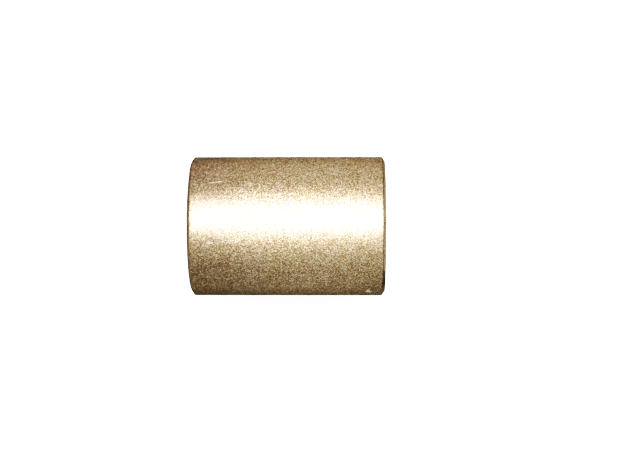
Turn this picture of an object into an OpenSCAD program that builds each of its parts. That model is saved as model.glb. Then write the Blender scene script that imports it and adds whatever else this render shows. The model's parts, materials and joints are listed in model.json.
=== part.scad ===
// Plain sleeve bearing, pressed and sintered in one piece from bronze powder.
// X runs along the bore, the origin is on the bore's axis at mid-length, and
// +Z is up with the sleeve lying on its side.

/* [Sleeve] */
// Diameter of the bore that the shaft turns in
bore_d = 12; // [6:0.5:30]
// Thickness of the wall between the bore and the outside
wall = 3; // [1.5:0.25:6]
// Length along the axis
sleeve_length = 25; // [6:1:60]

/* [Edges] */
// Length along the axis of the chamfer on each outer edge
outer_chamfer_length = 0.4; // [0.2:0.05:1.5]
// Depth towards the axis of the chamfer on each outer edge
outer_chamfer_depth = 0.6; // [0.2:0.05:0.8]
// Size of the 45 degree chamfer at each end of the bore
bore_chamfer = 0.5; // [0.2:0.05:0.6]

/* [Hidden] */
bronze = "#b3946a";
round_fn = 180;
bore_r = bore_d / 2;
outer_r = bore_r + wall;
half_length = sleeve_length / 2;
face_inner_r = bore_r + bore_chamfer;
face_outer_r = outer_r - outer_chamfer_depth;

// Edge points of one half of the wall's section, as [radius, distance from mid-length].
half_section = [
    [bore_r, half_length - bore_chamfer],
    [face_inner_r, half_length],
    [face_outer_r, half_length],
    [outer_r, half_length - outer_chamfer_length],
];

// The far half is the near half mirrored, taken in reverse so that the outline closes.
function mirrored(points) = [
    for (i = [len(points) - 1 : -1 : 0]) [points[i][0], -points[i][1]]
];

module wall_section() {
    polygon(concat(half_section, mirrored(half_section)));
}

module sleeve() {
    color(bronze)
        rotate([0, 90, 0])
            rotate_extrude($fn = round_fn)
                wall_section();
}

sleeve();
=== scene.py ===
"""Looks of the plain bronze sleeve bearing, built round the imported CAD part. Lengths are in metres."""

import json
import math
import random
from collections import namedtuple

import bmesh
import bpy
import numpy as np
from mathutils import Matrix, Vector, noise


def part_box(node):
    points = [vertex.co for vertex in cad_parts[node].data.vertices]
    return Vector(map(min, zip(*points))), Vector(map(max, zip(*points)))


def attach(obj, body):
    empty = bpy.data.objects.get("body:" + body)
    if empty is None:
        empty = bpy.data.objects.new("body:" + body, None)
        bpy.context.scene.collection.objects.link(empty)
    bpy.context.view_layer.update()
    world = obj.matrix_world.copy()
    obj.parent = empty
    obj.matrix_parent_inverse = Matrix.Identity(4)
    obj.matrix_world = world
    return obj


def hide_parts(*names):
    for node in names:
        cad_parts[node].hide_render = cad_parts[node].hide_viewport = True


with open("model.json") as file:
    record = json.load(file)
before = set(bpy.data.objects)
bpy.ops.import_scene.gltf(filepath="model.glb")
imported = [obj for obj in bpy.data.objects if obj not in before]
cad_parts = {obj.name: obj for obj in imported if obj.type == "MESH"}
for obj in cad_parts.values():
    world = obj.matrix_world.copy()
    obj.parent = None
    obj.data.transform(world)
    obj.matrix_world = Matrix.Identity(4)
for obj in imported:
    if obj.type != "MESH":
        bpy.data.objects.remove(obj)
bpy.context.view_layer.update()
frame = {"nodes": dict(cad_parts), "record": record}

MM = 0.001

# ---- Sizes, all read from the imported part

mounts = {mount["name"]: mount for mount in frame["record"]["mounts"]}
bore_r = mounts["shaft_bore"]["dims"]["r_mm"] * MM
outer_r = mounts["housing_seat"]["dims"]["r_mm"] * MM
half_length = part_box("sleeve")[1].x
half_bore_wall = mounts["shaft_bore"]["dims"]["length_mm"] * MM / 2
half_outer_wall = mounts["housing_seat"]["dims"]["length_mm"] * MM / 2
ON_END_FACE = 0.01 * MM       # a corner this close to the end plane lies on the end face


def end_face_radii():
    """Inner and outer radius of the flat ring at the sleeve's end, from the CAD sleeve's corners."""
    corners = [vertex.co for vertex in frame["nodes"]["sleeve"].data.vertices]
    radii = [math.hypot(co.y, co.z) for co in corners if half_length - co.x < ON_END_FACE]
    return min(radii), max(radii)


face_inner_r, face_outer_r = end_face_radii()

# ---- Mesh of the sleeve

EDGE_R = 0.1 * MM             # every edge is slightly rounded by tumbling and handling
EDGE_STEPS = 4
LEAST_STEPS = 2               # in a straight side, however short
AROUND = 416                  # corners in one ring round the axis
WALL_STEP = 0.20 * MM         # spacing of the rings of corners along the outer wall
FACE_STEP = 0.20 * MM         # across the end faces and chamfers
BORE_STEP = 0.50 * MM         # along the bore, which has less to show
OUTER, CHAMFER, END_FACE, BORE = range(4)   # material slots of the piece, in the order of FINISHES

# One straight side of the wall's section: the corner it ends at, how finely it is cut, its material.
Side = namedtuple("Side", "end step material")


def section_sides():
    """The closed outline of the wall's section, as (x, radius) corners taken from -X to +X and back."""
    return [
        Side(Vector((-half_length, face_outer_r)), FACE_STEP, END_FACE),
        Side(Vector((-half_outer_wall, outer_r)), FACE_STEP, CHAMFER),
        Side(Vector((half_outer_wall, outer_r)), WALL_STEP, OUTER),
        Side(Vector((half_length, face_outer_r)), FACE_STEP, CHAMFER),
        Side(Vector((half_length, face_inner_r)), FACE_STEP, END_FACE),
        Side(Vector((half_bore_wall, bore_r)), FACE_STEP, CHAMFER),
        Side(Vector((-half_bore_wall, bore_r)), BORE_STEP, BORE),
        Side(Vector((-half_length, face_inner_r)), FACE_STEP, CHAMFER),
    ]


def rounded_corner(before, corner, after):
    """Points of the small arc that replaces a corner, from the incoming side to the outgoing one."""
    back = (before - corner).normalized()
    ahead = (after - corner).normalized()
    half_angle = back.angle(ahead) / 2
    reach = EDGE_R / math.tan(half_angle)
    centre = corner + (back + ahead).normalized() * (EDGE_R / math.sin(half_angle))
    start = corner + back * reach - centre
    turn = start.angle_signed(corner + ahead * reach - centre)
    arc = []
    for i in range(EDGE_STEPS + 1):
        spin = Matrix.Rotation(-turn * i / EDGE_STEPS, 2)
        arc.append(centre + spin @ start)
    return arc


def section_outline():
    """Points of the rounded outline in order, and for each the material of the strip that follows it."""
    sides = section_sides()
    count = len(sides)
    arcs = []
    for i, side in enumerate(sides):
        arcs.append(rounded_corner(sides[i - 1].end, side.end, sides[(i + 1) % count].end))
    points = []
    materials = []
    for i, side in enumerate(sides):
        start = arcs[i - 1][-1]
        run = arcs[i][0] - start
        steps = max(LEAST_STEPS, round(run.length / side.step))
        for k in range(steps):
            points.append(start + run * k / steps)
            materials.append(side.material)
        following = sides[(i + 1) % count]
        for k, point in enumerate(arcs[i][:-1]):
            points.append(point)
            materials.append(side.material if k < EDGE_STEPS / 2 else following.material)
    return points, materials


def outline_normals(points):
    """Outward direction of the closed outline at each of its points."""
    normals = []
    for i, _ in enumerate(points):
        along = points[(i + 1) % len(points)] - points[i - 1]
        normals.append(Vector((-along.y, along.x)).normalized())
    return normals


# ---- Unevenness of the surface

# Layers of unevenness that pressing and sizing leave all over: (size of its waves, height).
RELIEF_LAYERS = [
    (2.4 * MM, 0.0020 * MM),
    (0.5 * MM, 0.0018 * MM),
]
EDGE_WEAR_REACH = 0.35 * MM    # how far from an edge the wear goes
EDGE_WEAR_DEPTH = 0.028 * MM
EDGE_WEAR_SIZE = 0.7 * MM      # length of the worn places along an edge

# A knock in the surface, or a burr where the depth is negative.
Dent = namedtuple("Dent", "place radius depth")

# Small knocks. Each pair is the least and the most, and a rim's are shifted from the outer wall's end.
RIM_DENTS = 46
RIM_DENT_SHIFT = (-0.1 * MM, 0.3 * MM)
RIM_DENT_SINK = 0.1 * MM
RIM_DENT_RADIUS = (0.25 * MM, 0.6 * MM)
RIM_DENT_DEPTH = (0.015 * MM, 0.045 * MM)
WALL_DENTS = 14
WALL_DENT_RADIUS = (0.4 * MM, 0.9 * MM)
WALL_DENT_DEPTH = (0.008 * MM, 0.02 * MM)
DICE_SEED = 12
dice = random.Random(DICE_SEED)


def on_wall(x, angle, radius=outer_r):
    """A place at X, at an angle round the axis: 0 is the top and positive is towards +Y."""
    return Vector((x, radius * math.sin(angle), radius * math.cos(angle)))


def random_dents():
    """Small knocks: most on the outer rims of the two ends, a few shallow ones on the wall."""
    dents = []
    for _ in range(RIM_DENTS):
        end = dice.choice((-1, 1)) * (half_outer_wall + dice.uniform(*RIM_DENT_SHIFT))
        place = on_wall(end, dice.uniform(-math.pi, math.pi), outer_r - RIM_DENT_SINK)
        dents.append(Dent(place, dice.uniform(*RIM_DENT_RADIUS), dice.uniform(*RIM_DENT_DEPTH)))
    for _ in range(WALL_DENTS):
        place = on_wall(dice.uniform(-half_outer_wall, half_outer_wall), dice.uniform(-math.pi, math.pi))
        dents.append(Dent(place, dice.uniform(*WALL_DENT_RADIUS), dice.uniform(*WALL_DENT_DEPTH)))
    return dents


# The knocks deep enough to show bright metal. The first three run together into one slanting nick.
CHIPS = [
    Dent(on_wall(10.25 * MM, math.radians(-65.5)), 0.34 * MM, 0.14 * MM),
    Dent(on_wall(10.40 * MM, math.radians(-68.5)), 0.48 * MM, 0.20 * MM),
    Dent(on_wall(10.70 * MM, math.radians(-71.0)), 0.40 * MM, 0.13 * MM),
    Dent(on_wall(-12.0 * MM, math.radians(164.0)), 0.35 * MM, 0.06 * MM),
    Dent(on_wall(12.1 * MM, math.radians(128.0)), 0.45 * MM, 0.08 * MM),
    Dent(on_wall(-12.1 * MM, math.radians(-150.0)), 0.40 * MM, 0.07 * MM),
]
BURRS = 9
BURR_MIDDLE = math.radians(-54.0)   # the burred stretch of the +X rim
BURR_SPREAD = math.radians(15.0)
BURR_FROM_END = 0.15 * MM
BURR_SINK = 0.22 * MM
BURR_RADIUS = (0.22 * MM, 0.45 * MM)
BURR_HEIGHT = (0.05 * MM, 0.13 * MM)


def rim_burrs():
    """Small irregular burrs pushed up along one stretch of the +X rim."""
    burrs = []
    for _ in range(BURRS):
        angle = BURR_MIDDLE + dice.uniform(-BURR_SPREAD, BURR_SPREAD)
        place = on_wall(half_length - BURR_FROM_END, angle, outer_r - BURR_SINK)
        burrs.append(Dent(place, dice.uniform(*BURR_RADIUS), -dice.uniform(*BURR_HEIGHT)))
    return burrs


def noise_at(places, size):
    """Noise from -1 to 1 at each place, with waves of that size."""
    return np.array([noise.noise(Vector(place / size)) for place in places])


def edge_distance(places):
    """How far each place is from the nearest edge of the true shape."""
    x = np.abs(places[:, 0])
    r = np.hypot(places[:, 1], places[:, 2])
    edges = [
        (half_length, face_outer_r), (half_outer_wall, outer_r),
        (half_length, face_inner_r), (half_bore_wall, bore_r),
    ]
    return np.min([np.hypot(x - edge_x, r - edge_r) for edge_x, edge_r in edges], axis=0)


def relief(places):
    """How far the surface stands proud of the true shape at each place."""
    heights = np.zeros(len(places))
    for size, height in RELIEF_LAYERS:
        heights += height * noise_at(places, size)
    beside_edge = np.clip(1 - edge_distance(places) / EDGE_WEAR_REACH, 0, 1)
    worn_places = (1 + noise_at(places, EDGE_WEAR_SIZE)) / 2
    heights -= EDGE_WEAR_DEPTH * beside_edge * worn_places
    for dent in random_dents() + CHIPS + rim_burrs():
        away = np.sum((places - np.array(dent.place)) ** 2, axis=1) / dent.radius ** 2
        heights -= dent.depth * np.clip(1 - away, 0, 1) ** 2
    return heights


def sleeve_piece():
    """The whole sleeve as one closed mesh of quads, with its relief."""
    outline, strip_materials = section_outline()
    normals = outline_normals(outline)
    angles = np.arange(AROUND) * (2 * math.pi / AROUND)
    along = np.array([1.0, 0.0, 0.0])
    radial = np.stack([np.zeros(AROUND), np.cos(angles), np.sin(angles)], axis=1)
    places = np.concatenate([point.x * along + point.y * radial for point in outline])
    outward = np.concatenate([normal.x * along + normal.y * radial for normal in normals])
    vertices = places + outward * relief(places)[:, None]
    rows = len(outline)
    faces = []
    for i in range(rows):
        for j in range(AROUND):
            here = i * AROUND
            there = (i + 1) % rows * AROUND
            turned = (j + 1) % AROUND
            faces.append((here + j, here + turned, there + turned, there + j))
    mesh = bpy.data.meshes.new("bronze_sleeve")
    mesh.from_pydata(vertices.tolist(), [], faces)
    mesh.polygons.foreach_set("material_index", np.repeat(strip_materials, AROUND))
    mesh.polygons.foreach_set("use_smooth", np.ones(len(faces), bool))
    mesh.update()
    piece = bpy.data.objects.new("bronze_sleeve", mesh)
    bpy.context.scene.collection.objects.link(piece)
    return piece


# ---- Materials

# Detail of a noise texture: how many finer layers it has.
LITTLE_DETAIL = 1.0
SOME_DETAIL = 2.0
MUCH_DETAIL = 3.0
NOISE_RANGE = (0.3, 0.7)       # nearly all of a noise texture lies between these

# Places of the colour sockets of a Mix node, whose names are the same for every kind of value.
MIX_FIRST = 6
MIX_SECOND = 7
MIX_RESULT = 2


class Nodes:
    """A node tree in the making. Each method adds one node and returns its output socket."""

    def __init__(self, name):
        self.material = bpy.data.materials.new(name)
        self.material.use_nodes = True
        self.tree = self.material.node_tree
        self.tree.nodes.clear()
        self.place = self.add("ShaderNodeTexCoord").outputs["Object"]

    def add(self, kind, **settings):
        node = self.tree.nodes.new(kind)
        for key, value in settings.items():
            setattr(node, key, value)
        return node

    def put(self, socket, value):
        """Sets a socket to a plain value, or links another node's output into it."""
        if isinstance(value, bpy.types.NodeSocket):
            self.tree.links.new(value, socket)
        else:
            socket.default_value = value

    def math(self, operation, first, second=0.0):
        node = self.add("ShaderNodeMath", operation=operation)
        self.put(node.inputs[0], first)
        self.put(node.inputs[1], second)
        return node.outputs[0]

    def product(self, first, second):
        return self.math("MULTIPLY", first, second)

    def vector(self, operation, *values, output="Vector"):
        node = self.add("ShaderNodeVectorMath", operation=operation)
        for socket, value in zip(node.inputs, values):
            self.put(socket, value)
        return node.outputs[output]

    def measured(self, operation, *values):
        """A vector operation whose result is a plain number, such as a distance."""
        return self.vector(operation, *values, output="Value")

    def scaled(self, vector, factor):
        node = self.add("ShaderNodeVectorMath", operation="SCALE")
        self.put(node.inputs[0], vector)
        self.put(node.inputs["Scale"], factor)
        return node.outputs[0]

    def fade(self, value, low, high, to_low=0.0, to_high=1.0):
        """A smooth step from to_low to to_high as value goes from low to high."""
        node = self.add("ShaderNodeMapRange", interpolation_type="SMOOTHSTEP")
        self.put(node.inputs["Value"], value)
        self.put(node.inputs["From Min"], low)
        self.put(node.inputs["From Max"], high)
        self.put(node.inputs["To Min"], to_low)
        self.put(node.inputs["To Max"], to_high)
        return node.outputs["Result"]

    def between(self, share, first, second):
        """The first number where share is 0, the second where it is 1."""
        return self.fade(share, 0.0, 1.0, first, second)

    def noise(self, size, detail=SOME_DETAIL, place=None, output="Fac"):
        node = self.add("ShaderNodeTexNoise")
        self.put(node.inputs["Vector"], self.place if place is None else place)
        self.put(node.inputs["Scale"], 1 / size)
        self.put(node.inputs["Detail"], detail)
        return node.outputs[output]

    def wander(self, size, detail, amount, place=None):
        """Noise that goes from -amount to amount."""
        return self.fade(self.noise(size, detail, place), *NOISE_RANGE, -amount, amount)

    def cells(self, size, place, feature, output):
        node = self.add("ShaderNodeTexVoronoi", feature=feature)
        self.put(node.inputs["Vector"], place)
        self.put(node.inputs["Scale"], 1 / size)
        return node.outputs[output]

    def axis(self, vector, name):
        node = self.add("ShaderNodeSeparateXYZ")
        self.put(node.inputs[0], vector)
        return node.outputs[name]

    def channel(self, colour_socket, index):
        node = self.add("ShaderNodeSeparateColor")
        self.put(node.inputs[0], colour_socket)
        return node.outputs[index]

    def shifted(self, amount):
        """Coordinates moved aside, so that a second pattern of the same kind doesn't follow the first."""
        return self.vector("ADD", self.place, (amount, amount, amount))

    def stretched(self, along, across):
        """Coordinates in which a pattern of size 1 is along metres long on X and across metres wide."""
        return self.vector("MULTIPLY", self.place, (1 / along, 1 / across, 1 / across))

    def round_axis(self):
        """Angle round the bore's axis: 0 is the top and positive is towards +Y."""
        return self.math("ARCTAN2", self.axis(self.place, "Y"), self.axis(self.place, "Z"))

    def from_axis(self):
        """Distance from the bore's axis."""
        return self.measured("LENGTH", self.vector("MULTIPLY", self.place, (0.0, 1.0, 1.0)))

    def plain(self, value):
        node = self.add("ShaderNodeRGB")
        node.outputs[0].default_value = value
        return node.outputs[0]

    def blend(self, share, first, second):
        """The first colour where share is 0, the second where it is 1."""
        node = self.add("ShaderNodeMix", data_type="RGBA")
        self.put(node.inputs["Factor"], share)
        self.put(node.inputs[MIX_FIRST], first)
        self.put(node.inputs[MIX_SECOND], second)
        return node.outputs[MIX_RESULT]

    def surface(self, light):
        """Makes a shader's output the surface of the material, and returns the material."""
        output = self.add("ShaderNodeOutputMaterial")
        self.put(output.inputs["Surface"], light)
        return self.material


def colour(red, green, blue):
    return (red, green, blue, 1.0)


# How one kind of surface on the sleeve was finished. The leans are how far single grains face away from
# the true surface, along the axis and across it, as slopes. The pore width is in grains. Dark and light are
# the tones of the extreme grains, and streaks is how strong the streaks are. Grazing is the metal's
# reflection seen along the surface, and the last is the function that adds what use did to it, and the
# light and shade painted on that surface.
Finish = namedtuple(
    "Finish",
    "roughness lean_along lean_across pore_width dark light grain_size streaks grazing wear",
)

# Colours of the bronze, and of what lies in it and on it.
WARM = colour(0.51, 0.334, 0.178)
OLIVE = colour(0.485, 0.330, 0.172)
COPPER = colour(0.535, 0.343, 0.200)
SCUFFED = colour(0.48, 0.322, 0.182)
STAIN = colour(0.50, 0.300, 0.140)
WORN = colour(0.49, 0.365, 0.235)
BURNISHED = colour(0.62, 0.46, 0.30)
FRESH = colour(0.95, 0.80, 0.58)
FRESH_ROUGHNESS = 0.55
PORE = colour(0.18, 0.112, 0.060)
PORE_ROUGHNESS = 0.42
# Near black: dark dirt and a painted shadow along the burred stretch of the +X rim.
DIRT_AND_SHADOW = colour(0.03, 0.024, 0.018)
GRAZING = colour(0.80, 0.70, 0.56)
GRAZING_BORE = colour(0.50, 0.36, 0.21)    # in the bore, which is oily
BRIGHTEST = (1.0, 1.0, 1.0)                # no grain may reflect more light than it gets

# The powder grains. Sizes without a unit are in grains.
GRAIN_JUMBLE = 0.9             # how far noise pushes the grains out of line
PORE_PATCH_SIZE = 2.5
PORE_PATCHES = (0.42, 0.66)    # noise levels at which the pores are narrowest and widest
NARROWEST_PORE = 0.03
DULL_MAJORITY = 3.0            # the power that makes most grains dull and few bright
FINE_SIZE = 0.55
FINE_TONES = (0.45, 1.55)
MOTTLING_SIZE = 3.0 * MM
MOTTLING_TONES = (0.90, 1.08)


def grain_coordinates(nodes, size):
    """Object coordinates pushed about by noise, so that the powder grains are irregular."""
    push = nodes.noise(size, LITTLE_DETAIL, output="Color")
    return nodes.vector("MULTIPLY_ADD", push, (size * GRAIN_JUMBLE,) * 3, nodes.place)


def powder_grains(nodes, finish):
    """The flattened grains: a random colour for each, and 1 on its top but 0 in the pore beside it."""
    size = finish.grain_size
    place = grain_coordinates(nodes, size)
    random_of_grain = nodes.cells(size, place, "F1", "Color")
    gap = nodes.cells(size, place, "DISTANCE_TO_EDGE", "Distance")
    patches = nodes.noise(size * PORE_PATCH_SIZE)
    gap_width = nodes.fade(patches, *PORE_PATCHES, NARROWEST_PORE, finish.pore_width)
    return random_of_grain, nodes.fade(gap, 0.0, gap_width)


def grain_tone(nodes, finish, random_of_grain):
    """How light each grain is: most are dull and few bright, with finer unevenness and broad mottling."""
    skewed = nodes.math("POWER", nodes.channel(random_of_grain, 0), DULL_MAJORITY)
    tone = nodes.between(skewed, finish.dark, finish.light)
    fine_noise = nodes.noise(finish.grain_size * FINE_SIZE, LITTLE_DETAIL)
    fine = nodes.fade(fine_noise, *NOISE_RANGE, *FINE_TONES)
    mottling = nodes.fade(nodes.noise(MOTTLING_SIZE, MUCH_DETAIL), *NOISE_RANGE, *MOTTLING_TONES)
    return nodes.product(tone, nodes.product(fine, mottling))


# Patches of another shade: their size, and the noise levels at which they begin and are full.
OLIVE_SIZE = 1.8 * MM
OLIVE_PATCHES = (0.36, 0.64)
COPPER_SIZE = 2.6 * MM
COPPER_PATCHES = (0.50, 0.70)
COPPER_SHIFT = 11.0


def metal_colour(nodes):
    """Warm bronze with more olive and more coppery patches."""
    olive = nodes.fade(nodes.noise(OLIVE_SIZE, MUCH_DETAIL), *OLIVE_PATCHES)
    copper_noise = nodes.noise(COPPER_SIZE, SOME_DETAIL, nodes.shifted(COPPER_SHIFT))
    copper = nodes.fade(copper_noise, *COPPER_PATCHES)
    return nodes.blend(copper, nodes.blend(olive, WARM, OLIVE), COPPER)


STREAK_LENGTH = 3.5 * MM
STREAK_WIDTH = 0.07 * MM
STREAKED_SIZE = 2.2 * MM       # of the places that have streaks
STREAKED_PATCHES = (0.42, 0.62)
STREAKED_SHIFT = 5.0


def streaks(nodes):
    """Fine lines along the axis, left by the sizing die and the core rod, from -1 to 1, mostly near 0."""
    lines = nodes.wander(1.0, SOME_DETAIL, 1.0, nodes.stretched(STREAK_LENGTH, STREAK_WIDTH))
    patch_noise = nodes.noise(STREAKED_SIZE, SOME_DETAIL, nodes.shifted(STREAKED_SHIFT))
    return nodes.product(lines, nodes.fade(patch_noise, *STREAKED_PATCHES))


# A scratch nearly along the axis: the X of its two ends, its angle round the axis at mid-length (0 is the
# top and positive is towards +Y), how much it climbs that way per metre of its length, its width, and how
# bright it is from 0 to 1.
Scratch = namedtuple("Scratch", "start end angle climb width shine")

SCRATCHES = [
    Scratch(-9.9 * MM, -7.9 * MM, math.radians(37.6), 0.12, 0.10 * MM, 1.0),
    Scratch(-9.4 * MM, -8.4 * MM, math.radians(41.0), 0.15, 0.07 * MM, 0.6),
    Scratch(-8.9 * MM, -6.8 * MM, math.radians(45.0), 0.10, 0.07 * MM, 0.6),
    Scratch(-8.2 * MM, -7.2 * MM, math.radians(47.5), 0.18, 0.06 * MM, 0.5),
    Scratch(-11.8 * MM, -11.0 * MM, math.radians(35.0), 0.05, 0.07 * MM, 0.40),
    Scratch(-9.9 * MM, -9.1 * MM, math.radians(-13.7), 0.0, 0.09 * MM, 0.85),
    Scratch(-10.6 * MM, -10.0 * MM, math.radians(-16.2), 0.04, 0.06 * MM, 0.30),
    Scratch(2.5 * MM, 4.6 * MM, math.radians(152.0), -0.15, 0.10 * MM, 0.80),
    Scratch(-5.0 * MM, -2.4 * MM, math.radians(-118.0), 0.20, 0.08 * MM, 0.70),
]
SCRATCH_FULL = 0.7             # the share of a scratch that is at full strength before it fades at its ends
SCRATCH_BREAK_SIZE = 0.25 * MM
SCRATCH_BREAKS = (0.30, 0.46)  # noise levels at which a scratch is gone and whole


def scratches(nodes):
    """How far the bright metal of the listed scratches shows, broken up where they skip over pores."""
    x = nodes.axis(nodes.place, "X")
    angle = nodes.round_axis()
    marked = 0.0
    for scratch in SCRATCHES:
        middle = (scratch.start + scratch.end) / 2
        half = (scratch.end - scratch.start) / 2
        along = nodes.math("SUBTRACT", x, middle)
        climb = nodes.product(along, scratch.climb / outer_r)
        aside = nodes.math("SUBTRACT", nodes.math("SUBTRACT", angle, scratch.angle), climb)
        across = nodes.fade(nodes.math("ABSOLUTE", aside), 0.0, scratch.width / outer_r, scratch.shine, 0.0)
        ends = nodes.fade(nodes.math("ABSOLUTE", along), half * SCRATCH_FULL, half, 1.0, 0.0)
        marked = nodes.math("MAXIMUM", nodes.product(across, ends), marked)
    broken = nodes.fade(nodes.noise(SCRATCH_BREAK_SIZE), *SCRATCH_BREAKS)
    return nodes.product(marked, broken)


CHIP_RAGGED_SIZE = 0.30 * MM
CHIP_RAGGED = 0.22 * MM
CHIP_BRIGHT = 0.35             # the bright metal is full to this share of a chip's radius
CHIP_BRIGHT_END = 0.70         # and gone at this one


def chipped(nodes):
    """1 in the deep knocks, where bright metal shows, with ragged borders."""
    ragged = nodes.wander(CHIP_RAGGED_SIZE, SOME_DETAIL, CHIP_RAGGED)
    marked = 0.0
    for chip in CHIPS:
        away = nodes.math("ADD", nodes.measured("DISTANCE", nodes.place, chip.place), ragged)
        bright = nodes.fade(away, CHIP_BRIGHT * chip.radius, CHIP_BRIGHT_END * chip.radius, 1.0, 0.0)
        marked = nodes.math("MAXIMUM", bright, marked)
    return marked


# The dark patch on the burred stretch of the +X rim: dirt and a painted shadow.
DARK_RIM_COVER = 0.9
DARK_RIM_FULL = 0.5 * BURR_SPREAD      # the dark patch of dirt and painted shadow is thickest this near the middle of the burrs
DARK_RIM_END = 1.3 * BURR_SPREAD
DARK_RIM_RAGGED_SIZE = 0.5 * MM
DARK_RIM_RAGGED = 0.22 * MM
DARK_RIM_BORDER = 0.12 * MM            # half the width of its border on the wall


def rim_dirt_and_shadow(nodes):
    """How thick the dark patch is along the burred stretch of the +X outer rim, with ragged borders: oily
    dirt and a painted shadow.
    """
    aside = nodes.math("ABSOLUTE", nodes.math("SUBTRACT", nodes.round_axis(), BURR_MIDDLE))
    stretch = nodes.fade(aside, DARK_RIM_FULL, DARK_RIM_END, DARK_RIM_COVER, 0.0)
    ragged = nodes.wander(DARK_RIM_RAGGED_SIZE, MUCH_DETAIL, DARK_RIM_RAGGED)
    place = nodes.math("ADD", nodes.axis(nodes.place, "X"), ragged)
    near_rim = nodes.fade(place, half_outer_wall - DARK_RIM_BORDER, half_outer_wall + DARK_RIM_BORDER)
    outside = nodes.fade(nodes.from_axis(), face_inner_r, face_outer_r)
    return nodes.product(nodes.product(stretch, near_rim), outside)


# Tones of the chamfers, as shares of plain worn bronze. On the outer chamfers they are painted light and
# shade: shaded at -X, lit at +X, with painted shade along the edges.
LEFT_CHAMFER_PAINTED_SHADE = 0.42
RIGHT_CHAMFER_PAINTED_LIGHT = 0.98
INNER_CHAMFER_TONE = 1.1
BESIDE_WALL_PAINTED_SHADE = 0.25
BESIDE_FACE_PAINTED_SHADE = 0.60
BESIDE_WALL = (0.24 * MM, 0.08 * MM)   # depths below the wall where its painted shaded edge begins and is full
BESIDE_FACE = 0.15 * MM                # how far up from the end face its painted shaded edge goes
LEFT_TO_RIGHT = (-1.0 * MM, 1.0 * MM)  # any stretch that lies between the two ends' chamfers


def chamfer_painted_light_and_shade(nodes):
    """Tone of the chamfers. On the outer ones it is painted light and shade: shaded at -X, and lit at +X
    with painted shade along its edges.
    """
    across = nodes.from_axis()
    begin, full = BESIDE_WALL
    beside_wall = nodes.fade(across, outer_r - begin, outer_r - full, RIGHT_CHAMFER_PAINTED_LIGHT, BESIDE_WALL_PAINTED_SHADE)
    beside_face = nodes.fade(across, face_outer_r, face_outer_r + BESIDE_FACE, BESIDE_FACE_PAINTED_SHADE, 1.0)
    right_end = nodes.fade(nodes.axis(nodes.place, "X"), *LEFT_TO_RIGHT)
    outer = nodes.between(right_end, LEFT_CHAMFER_PAINTED_SHADE, nodes.product(beside_wall, beside_face))
    outside = nodes.fade(across, bore_r, face_outer_r)
    return nodes.between(outside, INNER_CHAMFER_TONE, outer)


# Darker towards -X, in part painted shade of the key light falling off towards that end, and a little
# darker beside the +X end.
LEFT_DARKENING_START = -half_length - 3.5 * MM
LEFT_DARKENING_END = 4.0 * MM
LEFT_DARKENING_TONES = (0.585, 1.035)
RIGHT_DARKENING_START = 6.5 * MM
RIGHT_DARKENING_TONE = 0.86


def darkening_and_falloff_shade(nodes):
    """The tone along the sleeve: darker towards -X, in part painted shade of the key light falling off
    towards that end, and a little darker beside the +X end.
    """
    x = nodes.axis(nodes.place, "X")
    towards_left = nodes.fade(x, LEFT_DARKENING_START, LEFT_DARKENING_END, *LEFT_DARKENING_TONES)
    towards_right = nodes.fade(x, RIGHT_DARKENING_START, half_length, 1.0, RIGHT_DARKENING_TONE)
    return nodes.product(towards_left, towards_right)


RUB_RAGGED_SIZE = 1.6 * MM
RUB_RAGGED = 1.6 * MM
RUB_SHIFT = 3.0
RUB_FULL = -half_length + 2.5 * MM
RUB_END = -half_length + 8.0 * MM


def scuffed_end(nodes):
    """1 on the rubbed, greyer band beside the -X end, fading out unevenly towards the middle."""
    ragged = nodes.wander(RUB_RAGGED_SIZE, MUCH_DETAIL, RUB_RAGGED, nodes.shifted(RUB_SHIFT))
    place = nodes.math("ADD", nodes.axis(nodes.place, "X"), ragged)
    return nodes.fade(place, RUB_FULL, RUB_END, 1.0, 0.0)


STAIN_PLACE = on_wall(-half_length, math.radians(-76.0))
STAIN_REACH = 8.0 * MM
STAIN_FULL = 0.35 * STAIN_REACH
STAIN_COVER = 0.95
STAIN_RAGGED_SIZE = 1.3 * MM
STAIN_RAGGED = 1.2 * MM
STAIN_SHIFT = 7.0


def stained(nodes):
    """How far the coppery stain shows, low on the side turned to -Y at the -X end."""
    ragged = nodes.wander(STAIN_RAGGED_SIZE, MUCH_DETAIL, STAIN_RAGGED, nodes.shifted(STAIN_SHIFT))
    away = nodes.math("ADD", nodes.measured("DISTANCE", nodes.place, STAIN_PLACE), ragged)
    return nodes.fade(away, STAIN_FULL, STAIN_REACH, STAIN_COVER, 0.0)


STREAK_LEAN = 0.12             # slope of the sides of the deepest streaks
STREAK_TONES = (0.78, 1.22)
RUBBED_LEAN = 0.25             # how much of its lean a rubbed grain keeps
RUBBED_HEIGHT = 0.5            # and how much of its height over the pores
GRAIN_HEIGHT = 0.012 * MM
GRAIN_RELIEF = 0.3             # how strongly that height turns the light


def facing(nodes, finish, random_of_grain, line, rubbed):
    """Surface normal: each grain leans its own way and each streak round the axis, less so where rubbed."""
    reach = (2 * finish.lean_along, 2 * finish.lean_across, 2 * finish.lean_across)
    centring = (-finish.lean_along, -finish.lean_across, -finish.lean_across)
    lean = nodes.vector("MULTIPLY_ADD", random_of_grain, reach, centring)
    shape_normal = nodes.add("ShaderNodeNewGeometry").outputs["Normal"]
    round_axis = nodes.vector("CROSS_PRODUCT", (1.0, 0.0, 0.0), shape_normal)
    streak_lean = nodes.scaled(round_axis, nodes.product(line, STREAK_LEAN))
    kept = nodes.between(rubbed, 1.0, RUBBED_LEAN)
    aside = nodes.scaled(nodes.vector("ADD", lean, streak_lean), kept)
    return nodes.vector("NORMALIZE", nodes.vector("ADD", shape_normal, aside))


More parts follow.
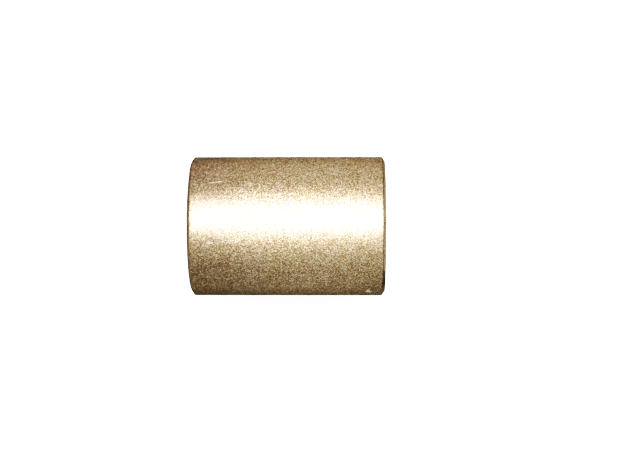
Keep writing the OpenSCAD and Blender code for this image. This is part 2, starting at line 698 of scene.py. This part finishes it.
def raised_grains(nodes, grain_top, rubbed, normal):
    """The surface normal with the grains standing over the pores, less so where rubbed."""
    bump = nodes.add("ShaderNodeBump")
    nodes.put(bump.inputs["Strength"], GRAIN_RELIEF)
    nodes.put(bump.inputs["Distance"], GRAIN_HEIGHT)
    nodes.put(bump.inputs["Height"], nodes.product(grain_top, nodes.between(rubbed, 1.0, RUBBED_HEIGHT)))
    nodes.put(bump.inputs["Normal"], normal)
    return bump.outputs["Normal"]


# What use did to one kind of surface, and the light and shade painted on it. Base is the colour of its
# grains. Next comes a tone over them and the pores, which darkens and paints light and shade. The last
# three are how far it is rubbed smooth, shows bright metal, and lies under the dark patch of dirt and
# painted shadow.
UNUSED = (1.0, 0.0, 0.0, 0.0)  # all but the base of a surface that was never used
Wear = namedtuple("Wear", "base dulling rubbed bare dirty", defaults=UNUSED)


def outer_wall_wear_and_painted_light(nodes):
    """Darker towards -X, in part as painted shade, scuffed at -X with a coppery stain beside it, scratched,
    chipped, and under a dark patch of dirt and painted shadow at one rim.
    """
    rubbed = scuffed_end(nodes)
    scuffed = nodes.blend(rubbed, metal_colour(nodes), SCUFFED)
    base = nodes.blend(stained(nodes), scuffed, STAIN)
    bare = nodes.math("MAXIMUM", scratches(nodes), chipped(nodes))
    return Wear(base, dulling=darkening_and_falloff_shade(nodes), rubbed=rubbed, bare=bare, dirty=rim_dirt_and_shadow(nodes))


def chamfer_wear_and_painted_light(nodes):
    """Plain worn bronze with painted light and shade, chipped, and under a dark patch of dirt and painted
    shadow at one rim.
    """
    base = nodes.plain(WORN)
    return Wear(base, dulling=chamfer_painted_light_and_shade(nodes), bare=chipped(nodes), dirty=rim_dirt_and_shadow(nodes))


def end_face_wear(nodes):
    """As pressed."""
    return Wear(metal_colour(nodes))


def bore_wear(nodes):
    """Burnished all over."""
    return Wear(nodes.plain(BURNISHED))


def sintered_bronze(name, finish):
    """Pressed bronze powder: flattened grains with dark pores between them, and the marks of its making."""
    nodes = Nodes(name)
    wear = finish.wear(nodes)
    random_of_grain, grain_top = powder_grains(nodes, finish)
    line = nodes.product(streaks(nodes), finish.streaks)
    tone = grain_tone(nodes, finish, random_of_grain)
    tone = nodes.product(tone, nodes.fade(line, -1.0, 1.0, *STREAK_TONES))
    metal = nodes.vector("MINIMUM", nodes.scaled(wear.base, tone), BRIGHTEST)
    # Grains and pores scaled by the tone that darkens and paints light and shade.
    toned_and_shaded = nodes.scaled(nodes.blend(grain_top, PORE, metal), wear.dulling)
    clean = nodes.blend(wear.bare, toned_and_shaded, FRESH)
    roughness = nodes.between(grain_top, PORE_ROUGHNESS, finish.roughness)
    leaning = facing(nodes, finish, random_of_grain, line, wear.rubbed)
    shader = nodes.add("ShaderNodeBsdfPrincipled")
    # The dark rim patch laid over the colour is dirt and a painted shadow.
    nodes.put(shader.inputs["Base Color"], nodes.blend(wear.dirty, clean, DIRT_AND_SHADOW))
    nodes.put(shader.inputs["Metallic"], 1.0)
    nodes.put(shader.inputs["Specular Tint"], finish.grazing)
    nodes.put(shader.inputs["Roughness"], nodes.between(wear.bare, roughness, FRESH_ROUGHNESS))
    nodes.put(shader.inputs["Normal"], raised_grains(nodes, grain_top, wear.rubbed, leaning))
    return nodes.surface(shader.outputs["BSDF"])


FINISHES = {
    "outer_wall": Finish(
        roughness=0.36, lean_along=0.08, lean_across=0.11, pore_width=0.11, dark=0.47, light=3.70,
        grain_size=0.082 * MM, streaks=0.6, grazing=GRAZING, wear=outer_wall_wear_and_painted_light,
    ),
    "chamfers": Finish(
        roughness=0.42, lean_along=0.10, lean_across=0.10, pore_width=0.12, dark=0.60, light=1.60,
        grain_size=0.08 * MM, streaks=0.0, grazing=GRAZING, wear=chamfer_wear_and_painted_light,
    ),
    "end_faces": Finish(
        roughness=0.45, lean_along=0.12, lean_across=0.12, pore_width=0.12, dark=0.55, light=1.90,
        grain_size=0.08 * MM, streaks=0.0, grazing=GRAZING, wear=end_face_wear,
    ),
    "bore_wall": Finish(
        roughness=0.30, lean_along=0.08, lean_across=0.10, pore_width=0.09, dark=0.66, light=1.65,
        grain_size=0.085 * MM, streaks=1.2, grazing=GRAZING_BORE, wear=bore_wear,
    ),
}


# ---- Stage: camera, floor, light and film

LENS_MM = 93.3
SENSOR_MM = 36.0
NEAREST_SEEN = 1 * MM
FARTHEST_SEEN = 20.0
CAMERA_PLACE = Vector((7.39 * MM, -0.64 * MM, 211.8 * MM))
CAMERA_TURN = math.radians(1.07)   # the camera is turned this much about Y, towards -X


def camera():
    """Looks down on the lying sleeve, nearly square to its axis."""
    data = bpy.data.cameras.new("camera")
    data.lens = LENS_MM
    data.sensor_width = SENSOR_MM
    data.clip_start = NEAREST_SEEN
    data.clip_end = FARTHEST_SEEN
    viewer = bpy.data.objects.new("camera", data)
    viewer.location = CAMERA_PLACE
    viewer.rotation_euler = (0, CAMERA_TURN, 0)
    bpy.context.scene.collection.objects.link(viewer)
    bpy.context.scene.camera = viewer


FLOOR_HALF_SIDE = 4.0
PAPER = colour(0.82, 0.82, 0.82)


def floor():
    """A pale paper floor that the sleeve lies on. Its bounce isn't mirrored in the bronze."""
    mesh = bpy.data.meshes.new("floor")
    corners = []
    for x, y in [(-1, -1), (1, -1), (1, 1), (-1, 1)]:
        corners.append((x * FLOOR_HALF_SIDE, y * FLOOR_HALF_SIDE, -outer_r))
    mesh.from_pydata(corners, [], [(0, 1, 2, 3)])
    ground = bpy.data.objects.new("floor", mesh)
    bpy.context.scene.collection.objects.link(ground)
    paper = Nodes("pale_floor")
    shader = paper.add("ShaderNodeBsdfPrincipled")
    paper.put(shader.inputs["Base Color"], PAPER)
    paper.put(shader.inputs["Roughness"], 1.0)
    paper.put(shader.inputs["Specular IOR Level"], 0.0)
    mesh.materials.append(paper.surface(shader.outputs["BSDF"]))
    ground.visible_glossy = False


KEY_TILT = math.radians(13.6)      # how far the key light stands from straight above, towards +Y
KEY_WATTS = 3.4
KEY_COLOUR = (1.0, 0.87, 0.80)
KEY_SIDE = 50 * MM


def key_light():
    """The one lamp: a small softbox beside the camera, which makes the band of glare along the sleeve."""
    data = bpy.data.lights.new("key", "AREA")
    data.energy = KEY_WATTS
    data.color = KEY_COLOUR
    data.size = KEY_SIDE
    lamp = bpy.data.objects.new("key", data)
    distance = CAMERA_PLACE.z
    lamp.location = (CAMERA_PLACE.x, math.sin(KEY_TILT) * distance, math.cos(KEY_TILT) * distance)
    lamp.rotation_euler = (-KEY_TILT, 0, 0)
    bpy.context.scene.collection.objects.link(lamp)


NEUTRAL = colour(1.0, 1.0, 1.0)
SURROUND_STRENGTH = 8.0


def paper_room():
    """White light from all round, for the floor and the background."""
    world = bpy.data.worlds.new("room")
    bpy.context.scene.world = world
    world.use_nodes = True
    world.node_tree.nodes["Background"].inputs["Color"].default_value = NEUTRAL
    world.node_tree.nodes["Background"].inputs["Strength"].default_value = SURROUND_STRENGTH
    world.cycles_visibility.glossy = False


# The mirrored room's brightness by direction. Heights and reaches are of a direction of length 1.
ROOM_R = 2.0
ROOM_SUBDIVISIONS = 5
BELOW_HEIGHTS = (-0.9, -0.3)
BELOW_LEVELS = (0.18, 0.51)
ABOVE_HEIGHTS = (0.2, 0.9)
ABOVE_LEVELS = (0.0, 0.5)
WALL_ANGLE = math.radians(101.0)   # of the warm wall's middle, from straight up towards +Y
WALL_EDGE = 0.80                   # cosine of the angle from its middle to its edge
WALL_LEVEL = 0.69
WARM_WALL = colour(1.0, 0.86, 0.86)
END_REACH = (0.25, 0.9)            # how far along X the pale ends begin and are full
END_GAIN = 2.2                     # how much brighter they are


def mirrored_room():
    """What the bronze mirrors: a soft round room, dim below, with a warm wall at +Y and pale X ends."""
    mesh = bpy.data.meshes.new("mirrored_room")
    form = bmesh.new()
    bmesh.ops.create_icosphere(form, subdivisions=ROOM_SUBDIVISIONS, radius=ROOM_R)
    form.to_mesh(mesh)
    form.free()
    room = bpy.data.objects.new("mirrored_room", mesh)
    bpy.context.scene.collection.objects.link(room)
    paint = Nodes("mirrored_room")
    way = paint.vector("NORMALIZE", paint.place)
    height = paint.axis(way, "Z")
    below = paint.fade(height, *BELOW_HEIGHTS, *BELOW_LEVELS)
    above = paint.fade(height, *ABOVE_HEIGHTS, *ABOVE_LEVELS)
    wall_middle = (0.0, math.sin(WALL_ANGLE), math.cos(WALL_ANGLE))
    wall = paint.fade(paint.measured("DOT_PRODUCT", way, wall_middle), WALL_EDGE, 1.0)
    level = paint.math("ADD", paint.math("ADD", below, above), paint.product(wall, WALL_LEVEL))
    ends = paint.fade(paint.math("ABSOLUTE", paint.axis(way, "X")), *END_REACH, 1.0, END_GAIN)
    glow = paint.add("ShaderNodeEmission")
    paint.put(glow.inputs["Color"], paint.blend(wall, NEUTRAL, WARM_WALL))
    paint.put(glow.inputs["Strength"], paint.product(level, ends))
    mesh.materials.append(paint.surface(glow.outputs["Emission"]))
    room.visible_camera = False
    room.visible_diffuse = False
    room.visible_shadow = False


# The film's response, with a soft toe and shoulder: pairs of a scene brightness and how bright it is shown,
# where 1 is full white.
FILM_WHITE = 4.5
FILM_RESPONSE = [
    (0.05, 0.03), (0.13, 0.112), (0.38, 0.38), (0.7, 0.565), (1.0, 0.69),
    (1.5, 0.82), (2.1, 0.90), (3.0, 0.955), (3.9, 0.99),
]
ALL_CHANNELS = 3               # place of the joint curve, after those of red, green and blue


def film():
    """The camera's own tone curve, which rolls the glare off to white instead of cutting it."""
    view = bpy.context.scene.view_settings
    view.view_transform = "Standard"
    view.use_curve_mapping = True
    view.curve_mapping.white_level = (FILM_WHITE,) * 3
    curve = view.curve_mapping.curves[ALL_CHANNELS]
    for scene_value, shown in FILM_RESPONSE:
        curve.points.new(scene_value / FILM_WHITE, shown)
    view.curve_mapping.update()


def main():
    """Sets the stage, and puts the visible sleeve in the place of the CAD sleeve."""
    camera()
    floor()
    key_light()
    paper_room()
    mirrored_room()
    film()
    sleeve = sleeve_piece()
    for name, finish in FINISHES.items():
        sleeve.data.materials.append(sintered_bronze(name, finish))
    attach(sleeve, "root")
    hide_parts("sleeve")


main()
